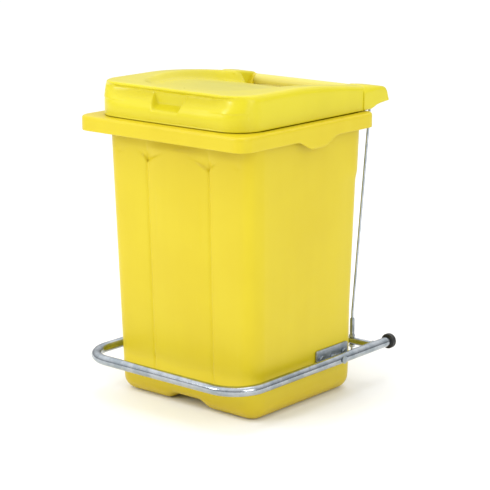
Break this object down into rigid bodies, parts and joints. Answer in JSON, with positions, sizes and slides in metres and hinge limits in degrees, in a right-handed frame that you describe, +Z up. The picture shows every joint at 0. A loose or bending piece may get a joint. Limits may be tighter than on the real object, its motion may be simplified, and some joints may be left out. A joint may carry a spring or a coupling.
{
  "type": "pedal bin",
  "caption": "Tapered plastic waste bin with a turned-down rim and a dished hinged lid, lifted by a tubular foot pedal through two wire rods behind the bin.",
  "frame": {"origin": "On the floor, at the centre of the object's bounding box seen from above.", "axes": "+Z up; +X to the right of someone who stands in front of the bin and looks at it; -Y is the front, where the pedal's bar is."},
  "size_m": [0.462, 0.5124, 0.6615],
  "materials": {
    "yellow_plastic": "satin",
    "grip_plastic": "satin",
    "zinc_steel": "satin",
    "black_rubber": "matte"
  },
  "bodies": {
    "bin": {"bin_body": "yellow_plastic", "bracket_bolt_left_front": "zinc_steel", "bracket_bolt_left_rear": "zinc_steel", "bracket_bolt_right_front": "zinc_steel", "bracket_bolt_right_rear": "zinc_steel", "bracket_nut_left_front": "zinc_steel", "bracket_nut_left_rear": "zinc_steel", "bracket_nut_right_front": "zinc_steel", "bracket_nut_right_rear": "zinc_steel", "bracket_washer_left_front": "zinc_steel", "bracket_washer_left_rear": "zinc_steel", "bracket_washer_right_front": "zinc_steel", "bracket_washer_right_rear": "zinc_steel", "grip_bar": "grip_plastic", "pivot_bolt_left": "zinc_steel", "pivot_bolt_right": "zinc_steel", "pivot_bracket_left": "zinc_steel", "pivot_bracket_right": "zinc_steel", "pivot_bush_left": "zinc_steel", "pivot_bush_right": "zinc_steel", "pivot_cap_left": "zinc_steel", "pivot_cap_right": "zinc_steel"},
    "lid": {"lid": "yellow_plastic", "lid_axle": "zinc_steel", "axle_clip_left": "zinc_steel", "axle_clip_right": "zinc_steel"},
    "pedal": {"pedal_frame": "zinc_steel", "rear_crossbar": "zinc_steel", "end_cap_left": "black_rubber", "end_cap_right": "black_rubber"},
    "rod_left": {"lift_rod_left": "zinc_steel", "rod_sleeve_left": "zinc_steel", "rod_nut_left_lower": "zinc_steel", "rod_nut_left_upper": "zinc_steel", "rod_clip_left": "zinc_steel"},
    "rod_right": {"lift_rod_right": "zinc_steel", "rod_sleeve_right": "zinc_steel", "rod_nut_right_lower": "zinc_steel", "rod_nut_right_upper": "zinc_steel", "rod_clip_right": "zinc_steel"}
  },
  "joints": [
    {"name": "lid_hinge", "type": "hinge", "parent": "bin", "child": "lid", "pos_m": [0, 0.23411, 0.618], "axis": [-1, 0, 0], "range_deg": [0, 62]},
    {"name": "pedal_pivot", "type": "hinge", "parent": "bin", "child": "pedal", "pos_m": [0, 0.07623, 0.086], "axis": [1, 0, 0], "range_deg": [-0.3, 11.6]},
    {"name": "rod_hinge_left", "type": "hinge", "parent": "pedal", "child": "rod_left", "pos_m": [-0.1535, 0.19925, 0.086], "axis": [1, 0, 0], "range_deg": [-11.9, 0.3]},
    {"name": "rod_hinge_right", "type": "hinge", "parent": "pedal", "child": "rod_right", "pos_m": [0.1535, 0.19925, 0.086], "axis": [1, 0, 0], "range_deg": [-11.9, 0.3]}
  ],
  "couplings": [
    {"joint": "pedal_pivot", "follows": "lid_hinge", "ratio": 0.1806},
    {"joint": "rod_hinge_left", "follows": "lid_hinge", "ratio": -0.1846},
    {"joint": "rod_hinge_right", "follows": "lid_hinge", "ratio": -0.1846}
  ]
}
